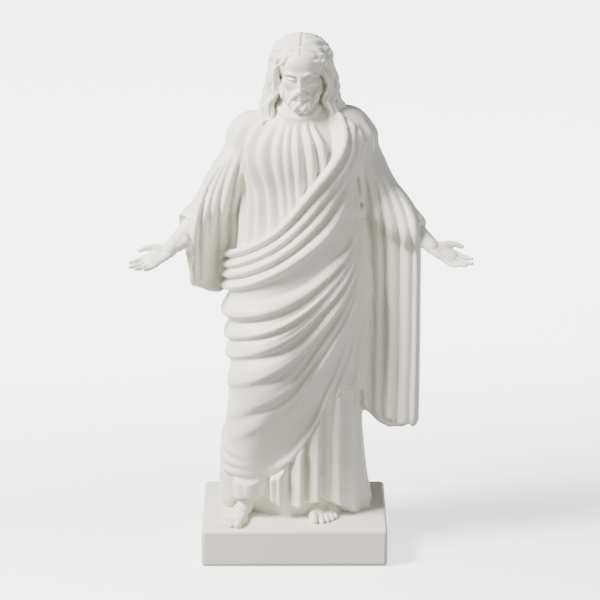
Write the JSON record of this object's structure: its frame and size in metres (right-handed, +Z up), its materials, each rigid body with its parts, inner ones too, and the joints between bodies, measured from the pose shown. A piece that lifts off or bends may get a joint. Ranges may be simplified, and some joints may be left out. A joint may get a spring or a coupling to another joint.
{
  "type": "statue of Christ with open arms",
  "caption": "Small white statue of a robed, bearded standing figure with arms held low and open, cast in one with its low oblong plinth.",
  "frame": {"origin": "centre of the plinth's flat underside", "axes": "+Z up along the figure's height, -Y towards the viewer it faces, +X to the viewer's right"},
  "size_m": [0.2076, 0.097, 0.3216],
  "materials": {
    "cast_marble": "satin"
  },
  "bodies": {
    "root": {"statue": "cast_marble"}
  },
  "joints": []
}
